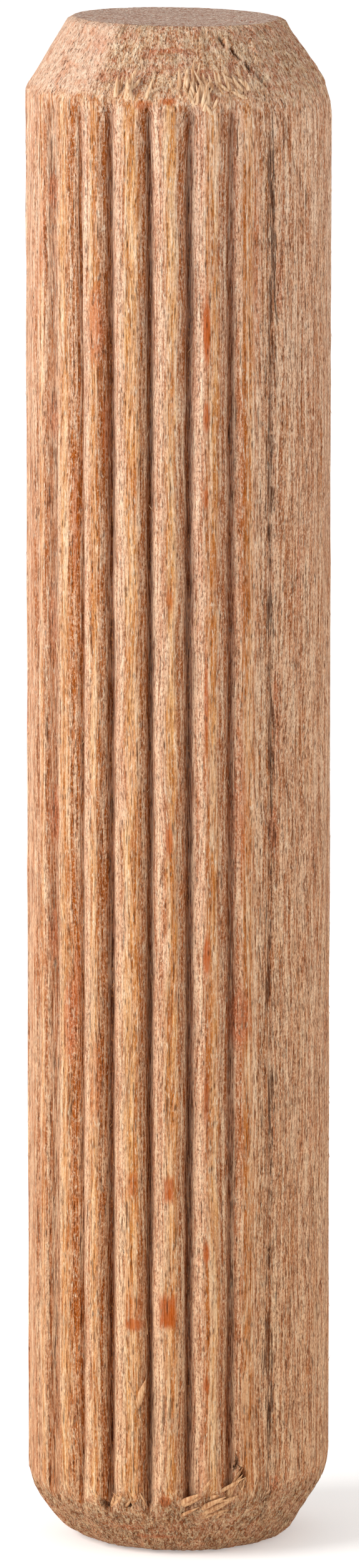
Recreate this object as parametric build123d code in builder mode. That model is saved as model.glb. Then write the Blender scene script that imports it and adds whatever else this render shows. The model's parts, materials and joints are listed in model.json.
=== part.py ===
"""A fluted wooden dowel pin, turned and fluted from one stick of beech.

The pin stands on its lower end: +Z runs up its axis, and the origin is the centre of the lower end face.
-Y is the front. All sizes are in millimetres.
"""

import os
from math import cos, hypot, radians, sqrt, tan

from build123d import *

# The stick
length = 40.0
shaft_diameter = 7.9

# The tapered ends
face_diameter = 5.5
top_taper_height = 1.85
bottom_taper_height = 1.55
shoulder_radius = 1.2  # rounds the corner between taper and shaft
shoulder_relief = 0.02  # how far outside the lands the shoulder's arc would turn vertical
face_edge_radius = 0.1  # rounds the corner between end face and taper

# The flutes, pressed by a toothed ring that the stick is pushed through
flute_count = 24
flute_depth = 0.27  # on average: the ring is off-centre, so it bites deeper on one side
flute_half_angle = 38.0  # from the middle of the flute to its flank, in degrees
flute_start_angle = -86.0  # the first flute, in degrees from +X
flute_root_radius = 0.06
land_edge_radius = 0.1  # rounds the corner between land and flank
rounded_share = 0.45  # the most of a flank that the rounding at either end of it may take up
ring_offset_x = 0.14
ring_offset_y = 0.05
end_allowance = 0.5  # the fluted stick is this much longer at each end until it is turned

shaft_radius = shaft_diameter / 2
face_radius = face_diameter / 2
blank_radius = shaft_radius + shoulder_relief
ring_centre = Vector(ring_offset_x, ring_offset_y)
ring_radius = shaft_radius - flute_depth

# The shallowest flute has the shortest flank, and its length limits both roundings
shortest_flank = (flute_depth - ring_centre.length) / cos(radians(flute_half_angle))
most_rounded = rounded_share * shortest_flank
root_radius = min(flute_root_radius, most_rounded * tan(radians(flute_half_angle)))
edge_radius = min(land_edge_radius, most_rounded * tan(radians(90 + flute_half_angle) / 2))


def meets_shaft(start, direction):
    """Where a flank that leaves a flute's root comes out at the shaft's surface."""
    along = start.dot(direction)
    return start + direction * (sqrt(along**2 - start.length**2 + shaft_radius**2) - along)


def flute(index):
    """One flute's V, counterclockwise: where it enters the shaft, its root, and where it leaves."""
    outward = Vector(1, 0).rotate(Axis.Z, flute_start_angle + index * 360 / flute_count)
    root = ring_centre + outward * ring_radius
    enter, leave = (
        meets_shaft(root, outward.rotate(Axis.Z, side * flute_half_angle)) for side in (-1, 1)
    )
    return enter, root, leave


def on_land(corner):
    """Whether a corner of the section lies on the shaft's surface, and not in a flute."""
    return hypot(corner.X, corner.Y) > shaft_radius - root_radius / 100


flutes = [flute(index) for index in range(flute_count)]

with BuildPart() as fluted_dowel:
    # The stick's section: flutes and the lands between them, with rounded roots and edges
    with BuildSketch(Plane.XY.offset(-end_allowance)) as section:
        with BuildLine():
            for (enter, root, leave), (next_enter, _, _) in zip(flutes, flutes[1:] + flutes[:1]):
                Polyline(enter, root, leave)
                RadiusArc(leave, next_enter, -shaft_radius)
        make_face()
        fillet(section.vertices().filter_by(on_land, reverse=True), root_radius)
        fillet(section.vertices().filter_by(on_land), edge_radius)
    extrude(amount=length + 2 * end_allowance)

    # The turned outline: both end faces, both tapers and their rounded corners
    with BuildSketch(Plane.XZ) as outline:
        with BuildLine():
            Polyline(
                (0, 0),
                (face_radius, 0),
                (blank_radius, bottom_taper_height),
                (blank_radius, length - top_taper_height),
                (face_radius, length),
                (0, length),
                close=True,
            )
        make_face()
        _, face_edges, shoulders = outline.vertices().group_by(Axis.X)
        fillet(shoulders, shoulder_radius)
        fillet(face_edges, face_edge_radius)
    revolve(axis=Axis.Z, mode=Mode.INTERSECT)

fluted_dowel.part.label = "fluted_dowel"

os.makedirs("parts", exist_ok=True)
export_step(fluted_dowel.part, "parts/fluted_dowel.step")
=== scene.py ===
"""A fluted dowel pin of raw beech: turned from a stick, pressed with straight flutes, tapered at both ends.

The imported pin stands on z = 0 with its axis on +Z and its front to -Y. Blender works in metres; the sizes of
the pieces are given here in millimetres, as a joiner would, and turned to metres where a mesh or a lamp is
made. Angles round the pin are in degrees from the front, and grow to the right as the front is looked at.
"""

import json
import logging
from collections.abc import Iterator
from dataclasses import dataclass, field
from enum import Enum
from math import cos, pi, radians, sin

import bpy
import numpy as np
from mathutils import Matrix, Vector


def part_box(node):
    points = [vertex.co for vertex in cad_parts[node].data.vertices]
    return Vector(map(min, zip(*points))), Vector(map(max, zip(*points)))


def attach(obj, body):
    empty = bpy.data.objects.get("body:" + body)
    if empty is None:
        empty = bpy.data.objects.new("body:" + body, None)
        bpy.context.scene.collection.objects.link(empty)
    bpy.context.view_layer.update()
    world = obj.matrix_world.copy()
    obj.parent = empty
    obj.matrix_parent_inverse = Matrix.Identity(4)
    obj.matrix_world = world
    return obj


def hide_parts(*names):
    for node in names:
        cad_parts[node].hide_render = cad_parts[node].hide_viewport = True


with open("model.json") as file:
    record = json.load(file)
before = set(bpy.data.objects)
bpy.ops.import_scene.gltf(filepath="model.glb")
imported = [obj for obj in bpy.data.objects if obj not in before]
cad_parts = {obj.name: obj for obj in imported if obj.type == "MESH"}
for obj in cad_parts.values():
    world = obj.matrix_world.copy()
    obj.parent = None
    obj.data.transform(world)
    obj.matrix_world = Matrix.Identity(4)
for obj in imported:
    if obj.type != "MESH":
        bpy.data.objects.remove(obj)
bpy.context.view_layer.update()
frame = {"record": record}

PIN_NODE = "fluted_dowel"
PIN_LOW, PIN_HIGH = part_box(PIN_NODE)
ROOT_BODY = "root"

MM = 0.001  # metres in a millimetre
LENGTH = (PIN_HIGH[2] - PIN_LOW[2]) / MM
SHAFT_MOUNT = next(mount for mount in frame["record"]["mounts"] if mount["name"] == "shaft")
RADIUS = SHAFT_MOUNT["dims"]["r_mm"]

log = logging.getLogger("dowel")


def linear(code: str) -> tuple[float, float, float, float]:
    """Turn an sRGB hex colour into a linear one for a shader.

    Args:
        code: six hex digits after a hash.

    Returns:
        Red, green, blue and an alpha of 1.
    """
    parts = [int(code[place:place + 2], 16) / 255 for place in (1, 3, 5)]
    red, green, blue = (c / 12.92 if c <= 0.04045 else ((c + 0.055) / 1.055) ** 2.4 for c in parts)
    return red, green, blue, 1.0


def ease(low: float, high: float, value: np.ndarray) -> np.ndarray:
    """Rise smoothly from 0 at low to 1 at high.

    Args:
        low: where the rise starts.
        high: where it ends; it may be below low, for a fall.
        value: the numbers to look up.

    Returns:
        Numbers from 0 to 1, in the shape of value.
    """
    share = np.clip((value - low) / (high - low), 0, 1)
    return share * share * (3 - 2 * share)


def on_pin(angle: np.ndarray, radius: np.ndarray, height: np.ndarray) -> np.ndarray:
    """Give the point at an angle, radius and height.

    Args:
        angle: degrees from the front, to the right.
        radius: millimetres from the axis.
        height: millimetres above the lower end.

    Returns:
        Points in millimetres, with x, y and z along the last axis.
    """
    turn = np.radians(angle)
    return np.stack(np.broadcast_arrays(radius * np.sin(turn), -radius * np.cos(turn), height), axis=-1)


def arc(angle: np.ndarray) -> np.ndarray:
    """Turn an angle round the pin into millimetres along the shaft's surface."""
    return np.radians((angle + 180) % 360 - 180) * RADIUS


class GrainNoise:
    """Smooth seeded noise between -1 and 1, made from a lattice that repeats."""

    def __init__(self, seed: int, size: int = 61) -> None:
        """Draw the lattice.

        Args:
            seed: chooses the pattern.
            size: cells before the pattern repeats.
        """
        self.size = size
        self.lattice = np.random.default_rng(seed).uniform(-1, 1, (size, size, size))

    def at(self, points: np.ndarray, width: float, length: float) -> np.ndarray:
        """Look the noise up at points, stretched along the grain.

        Args:
            points: millimetres, with x, y and z along the last axis.
            width: size of a feature across the grain, in millimetres.
            length: its size along the grain.

        Returns:
            One number for each point.
        """
        places = points / np.array([width, width, length])
        cells = np.floor(places).astype(int)
        share = places - cells
        share = share * share * (3 - 2 * share)
        total = np.zeros(points.shape[:-1])
        for corner in np.ndindex(2, 2, 2):
            weight = np.prod(np.where(corner, share, 1 - share), axis=-1)
            index = (cells + corner) % self.size
            total += weight * self.lattice[index[..., 0], index[..., 1], index[..., 2]]
        return total


@dataclass(frozen=True)
class Waver:
    """How unevenly something was worked: how much it varies, and the width and length of one wave in it."""

    amount: float
    width: float
    length: float
    shift: float = 0.0  # moves the pattern, so that two of the same size differ

    def at(self, noise: GrainNoise, points: np.ndarray) -> np.ndarray:
        """Give the unevenness at points in millimetres, from -amount to amount."""
        return self.amount * noise.at(points + self.shift, self.width, self.length)


@dataclass(frozen=True)
class Band:
    """A stretch round the pin, in degrees: it starts, is full between two angles, and ends."""

    start: float
    full_from: float
    full_to: float
    end: float

    def share(self, angles: np.ndarray, shift: np.ndarray | float = 0.0) -> np.ndarray:
        """Give 1 where the band is full and 0 outside it; shift moves its end to the left, in degrees."""
        return ease(self.end, self.full_to, angles + shift) * ease(self.start, self.full_from, angles)


@dataclass(frozen=True)
class Streak:
    """A soft streak along the whole pin: its angle and reach in degrees, and its strength."""

    angle: float
    reach: float
    strength: float = 1.0

    def share(self, angles: np.ndarray) -> np.ndarray:
        """Give how strong the streak is at angles."""
        return self.strength * np.exp(-((angles - self.angle) / self.reach) ** 2)


class End(Enum):
    """Which end of the pin a taper is on."""

    LOWER = "lower"
    UPPER = "upper"


class FleckShape(Enum):
    """How a ray shows where the surface cuts it."""

    SPINDLE = "pointed at both ends"
    BLOCK = "cut square"


class Word(Enum):
    """What the mesh tells its material about each point of the surface, from 0 to 1."""

    CREST = "rib_crest"
    LIT_FLANK = "lit_flank"
    DUSK_FLANK = "dusk_flank"
    ROOT = "flute_root_shade"
    FUZZY = "fuzzy_flank"
    BLUSH = "blush"
    GREY = "grey_streak"
    AMBER = "amber_streak"
    WARM_LIGHT_CAST = "warm_light_cast"
    UNFLUTED = "unfluted"
    TURNED = "turned"
    TORN = "torn"
    CLEAN = "clean_cut"
    LOWER = "lower_taper"
    SAWN = "sawn"
    RAGGED = "ragged"
    DENT_SHADE = "dent_shade"


@dataclass(frozen=True)
class Flute:
    """One pressed flute, with sizes in millimetres.

    The lips are how far the flute's two rounded edges reach from its floor: left_lip runs down from the rib
    on its left, and right_lip up to the rib on its right.
    """

    angle: float
    depth: float
    left_lip: float = 0.33
    right_lip: float = 0.30
    floor: float = 0.0


@dataclass(frozen=True)
class Taper:
    """A turned end. The knife left its two sides a little different, so each size has a left and a right."""

    end: End
    face_radius: tuple[float, float]
    height: tuple[float, float]
    shoulder: tuple[float, float]
    rim: tuple[float, float]
    shoulder_blend: float = 0.18  # width of a smooth blend that matches a fillet of 1 mm on this slope

    def distance(self, heights: np.ndarray) -> np.ndarray:
        """How far heights are from this end, in millimetres."""
        return heights if self.end is End.LOWER else LENGTH - heights

    def radius(self, angles: np.ndarray, heights: np.ndarray) -> np.ndarray:
        """Give the turned outline's radius, rounded at the shoulder and at the rim of the end face.

        Args:
            angles: degrees from the front.
            heights: millimetres above the lower end.

        Returns:
            The radius in millimetres.
        """
        rightness = (1 + np.sin(np.radians(angles))) / 2
        sizes = (self.face_radius, self.height, self.shoulder, self.rim)
        face_radius, height, shoulder, rim = (left + (right - left) * rightness for left, right in sizes)
        away = self.distance(heights)
        cone = face_radius + (RADIUS - face_radius) * away / height
        blend = self.shoulder_blend * shoulder
        overlap = np.clip(blend - np.abs(cone - RADIUS), 0, None) / blend
        turned = np.minimum(cone, RADIUS) - overlap**2 * blend / 4
        near = np.clip(1 - away / rim, 0, 1)
        return turned - rim * (1 - np.sqrt(1 - near**2))


@dataclass(frozen=True)
class Dent:
    """A pit, chip or scratch in the surface, in degrees and millimetres.

    lean is how far it moves to the right for each millimetre that it climbs.
    """

    angle: float
    height: float
    width: float
    length: float
    depth: float
    lean: float = 0.0


@dataclass(frozen=True)
class Fleck:
    """A medullary ray or a stain where the surface cuts it: half its width and length, in millimetres."""

    angle: float
    height: float
    width: float
    length: float
    strength: float = 1.0
    shape: FleckShape = FleckShape.SPINDLE


@dataclass(frozen=True)
class Splinter:
    """A fibre that stands off the surface, in degrees and millimetres.

    lean is its slope to the right in degrees from straight up, and lift the slope of its root off the skin.
    """

    angle: float
    height: float
    length: float
    width: float
    lean: float
    lift: float = 8.0


@dataclass(frozen=True)
class Tuft:
    """A clump of torn fibres at the end of a rib, in degrees and millimetres.

    size is how much larger its fibres are than the usual.
    """

    angle: float
    height: float
    width: float
    tallness: float
    count: int
    lean: float
    lift: float = 14.0
    size: float = 1.0


LOWER_TAPER = Taper(
    End.LOWER, face_radius=(2.80, 2.83), height=(1.42, 1.84), shoulder=(2.43, 1.5), rim=(0.52, 0.30)
)
UPPER_TAPER = Taper(
    End.UPPER, face_radius=(2.80, 2.68), height=(1.83, 1.87), shoulder=(0.34, 2.65), rim=(0.09, 0.09)
)
UPPER_FACE_SLOPE = 0.016  # the upper face was sawn about a degree off square, low on the right
UPPER_FACE_REACH = 2.0  # how far down the taper follows that slope
FACE_WAVER = Waver(0.008, width=0.25, length=0.25)

FLUTE_COUNT = 24
FIRST_FLUTE = 4.0
RING_BITE = 0.27  # mean depth of the flutes
RING_OFFSET = 0.14  # the toothed ring sat this far to the right, so it bit deepest on the left
FRONT_FLUTES = (
    Flute(-68.5, 0.08, left_lip=0.22, right_lip=0.20),
    Flute(-56.8, 0.11, left_lip=0.18, right_lip=0.22, floor=0.20),
    Flute(-41.1, 0.24, left_lip=0.42, right_lip=0.36),
    Flute(-27.8, 0.31, left_lip=0.30, right_lip=0.42, floor=0.03),
    Flute(-11.7, 0.34, left_lip=0.28, right_lip=0.42, floor=0.01),
    Flute(4.1, 0.33, left_lip=0.36, right_lip=0.38, floor=0.02),
    Flute(20.9, 0.24, left_lip=0.44, right_lip=0.20, floor=0.03),
    Flute(37.2, 0.06, left_lip=0.22, right_lip=0.16),
    Flute(52.5, 0.03),
    Flute(66.5, 0.02),
    Flute(81.0, 0.03),
    Flute(95.0, 0.06),
)

# How deep the ring's teeth bit along the pin: they lifted off at both ends
FLUTE_RUN_HEIGHTS = (0.9, 1.7, 4.0, 29.0, 36.8, 37.8, 38.3)
FLUTE_RUN_SHARES = (0.2, 0.9, 1.0, 1.0, 0.88, 0.70, 0.0)

# How the flutes wander: sideways in degrees, and in depth and lip as a share of the flute's own
TRACK_SPACING = 7.3  # far enough apart in the noise for each flute to wander by itself
TRACK_PLACE = 0.5
LONG_SWAY = Waver(0.38, width=1.0, length=7.0)
SHORT_SWAY = Waver(0.26, width=1.0, length=1.4, shift=5.2)
DEPTH_WAVER = Waver(0.16, width=1.0, length=2.6, shift=3.1)
LEFT_LIP_WAVER = Waver(0.22, width=1.0, length=0.8, shift=9.7)
RIGHT_LIP_WAVER = Waver(0.22, width=1.0, length=0.8, shift=12.9)

# The skin's roughness in millimetres: lengthwise fibres on the shaft, crumbs on the tapers
COARSE_FIBRES = Waver(0.014, width=0.13, length=1.6)
FINE_FIBRES = Waver(0.009, width=0.09, length=0.7, shift=5)
COARSE_CRUMBS = Waver(0.060, width=0.19, length=0.40)
FINE_CRUMBS = Waver(0.032, width=0.09, length=0.22, shift=9)
RAGGED_EDGE = Waver(0.09, width=0.15, length=0.45, shift=21)
CLEAN_SMOOTHNESS = 0.75  # how much of the crumbs a clean cut takes away
EDGE_START = -0.01
EDGE_WIDTH = 0.18  # how soon the taper's look takes over from the shaft's, in millimetres of depth
CHIP_PATTERN = Waver(1.0, width=0.20, length=1.1, shift=13)
CHIP_RANGE = (0.35, 0.8)
CHIP_DEPTH = 0.08
CHIP_LIP = 0.25  # chips start this share of the way down a flute's lip
FULL_DENT_SHADE = 0.16  # a dent this deep gets the darkest painted shade

# Where the knife cut the tapers cleanly; it slants down them at this many degrees a millimetre
CLEAN_CUT = Band(-150, -125, -38, -29)
CLEAN_CUT_SLANT = 1.5
BACK_CLEAN_CUT = Band(100, 125, 150, 175)

# Shares of the way from a rib to a flute's root where each look starts and is full
CREST_END = 0.22
# the flanks, which get a painted highlight on one side and painted shade on the other
FLANK_SPAN = (0.04, 0.42)
ROOT = (0.62, 0.97)
FULL_BITE = 0.30  # a flute this deep gets the darkest painted shade in its root
FLANK_BITE = (0.02, 0.16)  # how deep a flute has to be for its flanks to get their painted highlight and shade, and their fuzz
LEAST_FUZZ = 0.5
FUZZ_LOST_IN_ROOT = 0.7

DENTS = (
    Dent(-31.0, 39.90, width=0.22, length=0.10, depth=0.10),
    Dent(25.3, 2.22, width=0.15, length=0.34, depth=0.34),
    Dent(23.6, 2.60, width=0.07, length=0.26, depth=0.18, lean=0.5),
    Dent(22.0, 39.62, width=0.070, length=0.16, depth=0.14, lean=-0.6),
    Dent(27.5, 39.32, width=0.095, length=0.22, depth=0.15, lean=-0.75),
    Dent(31.8, 38.98, width=0.080, length=0.18, depth=0.15, lean=-0.6),
    Dent(35.6, 38.70, width=0.060, length=0.18, depth=0.12, lean=-0.6),
    Dent(12.5, 38.55, width=0.05, length=0.24, depth=0.10, lean=0.3),
    Dent(9.5, 38.45, width=0.05, length=0.20, depth=0.09, lean=-0.4),
    Dent(5.2, 1.66, width=0.10, length=0.18, depth=0.20, lean=0.8),
    Dent(12.5, 1.22, width=0.40, length=0.07, depth=0.10),
    Dent(-20.0, 1.50, width=0.12, length=0.12, depth=0.16),
    Dent(-30.0, 1.46, width=0.12, length=0.16, depth=0.16, lean=-0.5),
    Dent(-14.5, 4.30, width=0.08, length=0.30, depth=0.12, lean=0.35),
    Dent(-56.3, 20.9, width=0.09, length=0.50, depth=0.08),
    Dent(-56.9, 17.6, width=0.08, length=0.70, depth=0.06),
    Dent(-5.6, 3.9, width=0.05, length=0.60, depth=0.08),
    Dent(-3.0, 4.1, width=0.04, length=0.45, depth=0.08),
    Dent(148.0, 1.6, width=0.12, length=0.22, depth=0.20),
    Dent(-128.0, 38.2, width=0.08, length=0.40, depth=0.14, lean=0.4),
)

RAYS = (
    Fleck(10.6, 32.3, width=0.10, length=0.95),
    Fleck(10.6, 30.1, width=0.09, length=0.45, strength=0.9),
    Fleck(10.3, 28.0, width=0.08, length=0.30, strength=0.7),
    Fleck(10.4, 22.6, width=0.06, length=1.30, strength=0.7),
    Fleck(10.7, 16.1, width=0.10, length=0.60, strength=0.9),
    Fleck(10.5, 12.3, width=0.07, length=0.80, strength=0.7),
    Fleck(10.7, 8.25, width=0.09, length=0.30, strength=0.8),
    Fleck(10.7, 4.75, width=0.08, length=0.22, strength=0.8),
    Fleck(-3.3, 25.4, width=0.10, length=0.35, strength=0.6),
    Fleck(-3.5, 19.1, width=0.11, length=0.50, strength=0.7),
    Fleck(-3.5, 14.3, width=0.08, length=0.60, strength=0.4),
    Fleck(-3.7, 9.95, width=0.15, length=0.36, strength=0.8, shape=FleckShape.BLOCK),
    Fleck(-3.4, 9.85, width=0.07, length=0.22, strength=1.0),
    Fleck(-17.9, 10.05, width=0.15, length=0.34, strength=0.5, shape=FleckShape.BLOCK),
    Fleck(-4.0, 6.72, width=0.25, length=0.46, strength=0.9, shape=FleckShape.BLOCK),
    Fleck(-3.7, 6.55, width=0.17, length=0.28, strength=1.0, shape=FleckShape.BLOCK),
    Fleck(-17.4, 6.72, width=0.24, length=0.40, strength=0.35, shape=FleckShape.BLOCK),
    Fleck(-17.2, 6.36, width=0.26, length=0.20, strength=0.85),
    Fleck(-5.2, 1.66, width=0.16, length=0.20, strength=0.8),
    Fleck(-13.6, 38.1, width=0.30, length=0.14, strength=0.6),
    Fleck(-3.8, 38.2, width=0.24, length=0.10, strength=0.8),
    Fleck(-43.4, 15.3, width=0.10, length=1.05, strength=0.5),
    Fleck(-43.5, 27.2, width=0.08, length=1.60, strength=0.5),
    Fleck(-29.5, 29.6, width=0.10, length=1.00, strength=0.5),
    Fleck(132.0, 28.5, width=0.10, length=0.60, strength=0.8),
    Fleck(146.5, 12.0, width=0.16, length=0.42, strength=0.8, shape=FleckShape.BLOCK),
    Fleck(-138.5, 21.5, width=0.10, length=0.80, strength=0.7),
    Fleck(-153.5, 7.4, width=0.20, length=0.30, strength=0.8, shape=FleckShape.BLOCK),
    Fleck(-108.5, 33.0, width=0.09, length=0.70, strength=0.8),
    Fleck(176.5, 25.2, width=0.09, length=1.00, strength=0.7),
    Fleck(86.0, 17.0, width=0.07, length=0.60, strength=0.6),
)

STAINS = (
    Fleck(-56.0, 35.75, width=0.30, length=0.50, strength=0.9),
    Fleck(-63.0, 34.50, width=0.16, length=1.20, strength=0.5),
    Fleck(-56.0, 29.9, width=0.28, length=0.60, strength=0.8),
    Fleck(-57.0, 24.6, width=0.20, length=1.10, strength=0.6),
    Fleck(-56.2, 19.5, width=0.30, length=0.80, strength=1.0),
    Fleck(-57.5, 16.4, width=0.18, length=0.80, strength=0.8),
    Fleck(-33.0, 32.4, width=0.24, length=1.15, strength=0.9),
    Fleck(-46.0, 14.2, width=0.22, length=1.20, strength=0.9),
    Fleck(-33.5, 12.6, width=0.16, length=1.40, strength=0.5),
    Fleck(-19.0, 21.0, width=0.22, length=1.60, strength=0.3),
    Fleck(24.0, 14.4, width=0.32, length=0.85, strength=1.0),
    Fleck(24.0, 19.8, width=0.24, length=1.80, strength=0.5),
    Fleck(30.5, 34.0, width=0.16, length=2.60, strength=0.4),
    Fleck(39.5, 1.95, width=0.18, length=0.28, strength=0.9),
    Fleck(-10.0, 0.55, width=0.80, length=0.07, strength=0.9),
    Fleck(-22.0, 0.80, width=0.50, length=0.08, strength=0.7),
    Fleck(-4.4, 39.42, width=0.74, length=0.07, strength=1.0),
    Fleck(11.0, 38.86, width=0.44, length=0.12, strength=0.9),
    Fleck(-28.0, 38.75, width=0.90, length=0.12, strength=0.5),
    Fleck(-41.0, 39.50, width=0.34, length=0.28, strength=0.7),
    Fleck(39.6, 22.0, width=0.14, length=1.60, strength=0.7),
    Fleck(38.8, 19.2, width=0.14, length=0.80, strength=0.9),
    Fleck(41.0, 33.4, width=0.12, length=0.80, strength=0.7),
    Fleck(52.0, 26.0, width=0.08, length=1.40, strength=0.9),
    Fleck(60.0, 12.0, width=0.10, length=2.20, strength=0.4),
    Fleck(-146.0, 30.0, width=0.28, length=0.80, strength=0.9),
    Fleck(161.0, 18.0, width=0.28, length=1.00, strength=0.9),
    Fleck(-168.0, 35.0, width=0.26, length=0.70, strength=0.8),
    Fleck(117.0, 9.0, width=0.24, length=0.80, strength=0.8),
    Fleck(-92.0, 22.0, width=0.24, length=1.10, strength=0.7),
)

SPLINTERS = (
    Splinter(-16.6, 4.12, length=0.92, width=0.26, lean=22),
    Splinter(-15.6, 4.30, length=0.62, width=0.20, lean=-26),
    Splinter(-45.4, 3.40, length=0.72, width=0.11, lean=16),
    Splinter(-27.0, 1.66, length=0.50, width=0.14, lean=52),
    Splinter(-24.4, 1.54, length=0.46, width=0.13, lean=30),
    Splinter(-21.8, 1.56, length=0.42, width=0.12, lean=-42),
    Splinter(-19.4, 1.72, length=0.34, width=0.10, lean=-64),
    Splinter(-12.8, 6.05, length=0.95, width=0.08, lean=-4, lift=4),
    Splinter(-19.5, 8.20, length=0.40, width=0.045, lean=-18, lift=14),
    Splinter(-18.6, 8.30, length=0.34, width=0.040, lean=12, lift=14),
    Splinter(6.4, 24.3, length=1.10, width=0.09, lean=4, lift=3),
    Splinter(-51.5, 23.6, length=0.60, width=0.08, lean=-6, lift=5),
    Splinter(24.8, 2.46, length=0.50, width=0.10, lean=28),
    Splinter(-13.2, 16.6, length=0.42, width=0.08, lean=-8, lift=8),
    Splinter(150.0, 5.30, length=0.60, width=0.12, lean=20),
    Splinter(-135.0, 14.0, length=0.70, width=0.09, lean=-12),
)

TUFTS = (
    Tuft(8.6, 1.40, width=0.48, tallness=0.26, count=34, lean=58, lift=16.0, size=1.35),
    Tuft(21.4, 1.62, width=0.26, tallness=0.40, count=20, lean=34, lift=14.0, size=1.25),
    Tuft(-25.0, 1.50, width=0.30, tallness=0.18, count=14, lean=40, size=1.2),
    Tuft(-13.5, 1.30, width=0.16, tallness=0.10, count=6, lean=-30),
    Tuft(7.6, 38.25, width=0.42, tallness=0.28, count=42, lean=-6, lift=8.0),
    Tuft(-20.0, 38.30, width=0.40, tallness=0.14, count=14, lean=14, lift=6.0),
    Tuft(24.0, 38.40, width=0.40, tallness=0.20, count=14, lean=-34, lift=6.0),
    Tuft(140.0, 1.50, width=0.34, tallness=0.16, count=16, lean=50),
    Tuft(-155.0, 38.30, width=0.30, tallness=0.16, count=18, lean=-24),
    Tuft(-110.0, 1.50, width=0.28, tallness=0.12, count=12, lean=30),
)

WARM_LIGHT_AT_TOP = 0.38  # share of the painted warm cast left at the top, where the lower end has all
# How pink the wood is round the pin: the stick's red heart came nearer the surface at its sides
BLUSH_ANGLES = (-180, -130, -66, -52, -10, 4, 16, 100, 180)
BLUSH_SHARES = (0.4, 0.8, 1.0, 0.1, 0.0, 0.5, 0.8, 1.0, 0.4)
# Streaks of amber late wood
AMBER = (
    Streak(-56.5, 3.2, 0.55),
    Streak(-43.2, 2.8, 1.0),
    Streak(-31.5, 1.6, 0.6),
    Streak(-16.0, 1.2, 0.4),
    Streak(11.0, 1.5, 0.8),
    Streak(25.0, 3.6, 0.8),
    Streak(112.0, 3.0, 0.6),
    Streak(158.0, 2.4, 0.8),
    Streak(-163.0, 2.8, 0.6),
    Streak(-121.0, 2.2, 0.9),
    Streak(-94.0, 2.6, 0.5),
)
GREY = Streak(32.5, 3.5)
# The long crack where a flute was barely pressed: it drifts in degrees, and comes and goes in clusters
CRACK = Streak(37, 2.1)
CRACK_DRIFT = Waver(1.2, width=9.0, length=3.2, shift=33)
CRACK_CLUSTERS = Waver(1.0, width=9.0, length=1.6, shift=47)
CLUSTER_RANGE = (-0.2, 0.5)
CLUSTER_STRENGTHS = (0.55, 0.9)
FAINT_CRACK = Streak(-57, 3.5, 0.4)
# Where the ribs stand up and where the ring barely touched, and where a painted highlight washes out the ribs'
# gold on the side that faces the key lamp
FRONT_RIBS = Band(-75, -62, 27, 30)
LEFT_RIBS = (-95, -120)
RIGHT_RIBS = (96, 108)
PLAIN_SIDE = Band(28.5, 31.0, 96, 108)
FUZZY_SIDE = Band(28, 34, 100, 112)
RIBS_UNDER_HIGHLIGHT = Band(-85, -70, -44, -26)
HIGHLIGHT_GOLD_LOSS = 0.45


@dataclass(frozen=True)
class SplitTrail:
    """A faint flute's floor broken into a trail of short splits, in degrees and millimetres."""

    angle: float
    count: int
    seed: int
    wander: float = 0.8
    ends: tuple[float, float] = (2.8, 3.0)  # how far the trail stays from the lower and the upper end
    widths: tuple[float, float] = (0.030, 0.055)
    lengths: tuple[float, float] = (0.12, 0.42)
    depths: tuple[float, float] = (0.04, 0.12)

    def splits(self) -> Iterator[Dent]:
        """Scatter the splits.

        Yields:
            Each split.
        """
        pick = np.random.default_rng(self.seed)
        low, high = self.ends
        for _ in range(self.count):
            yield Dent(
                self.angle + pick.normal(0, self.wander),
                pick.uniform(low, LENGTH - high),
                width=pick.uniform(*self.widths),
                length=pick.uniform(*self.lengths),
                depth=pick.uniform(*self.depths),
            )


SPLIT_TRAILS = (
    SplitTrail(37.2, count=40, seed=61),
    SplitTrail(57.5, count=8, seed=62),
    SplitTrail(-57.5, count=10, seed=63),
    SplitTrail(21.5, count=12, seed=64),
    SplitTrail(124.0, count=26, seed=65),
    SplitTrail(-101.0, count=20, seed=66),
)


def all_dents() -> tuple[Dent, ...]:
    """List every dent: the larger ones, and the splits along the faint flutes."""
    return DENTS + tuple(split for trail in SPLIT_TRAILS for split in trail.splits())


def all_flutes() -> tuple[Flute, ...]:
    """List every flute: the front ones as they are, and the rest as an off-centre ring presses them.

    Returns:
        The flutes in order round the pin.
    """
    pitch = 360 / FLUTE_COUNT
    first, last = FRONT_FLUTES[0].angle, FRONT_FLUTES[-1].angle
    flutes = list(FRONT_FLUTES)
    for number in range(FLUTE_COUNT):
        angle = (FIRST_FLUTE + number * pitch + 180) % 360 - 180
        if not first - pitch / 2 < angle < last + pitch / 2:
            flutes.append(Flute(angle, RING_BITE - RING_OFFSET * sin(radians(angle))))
    return tuple(sorted(flutes, key=lambda flute: flute.angle))


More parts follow.
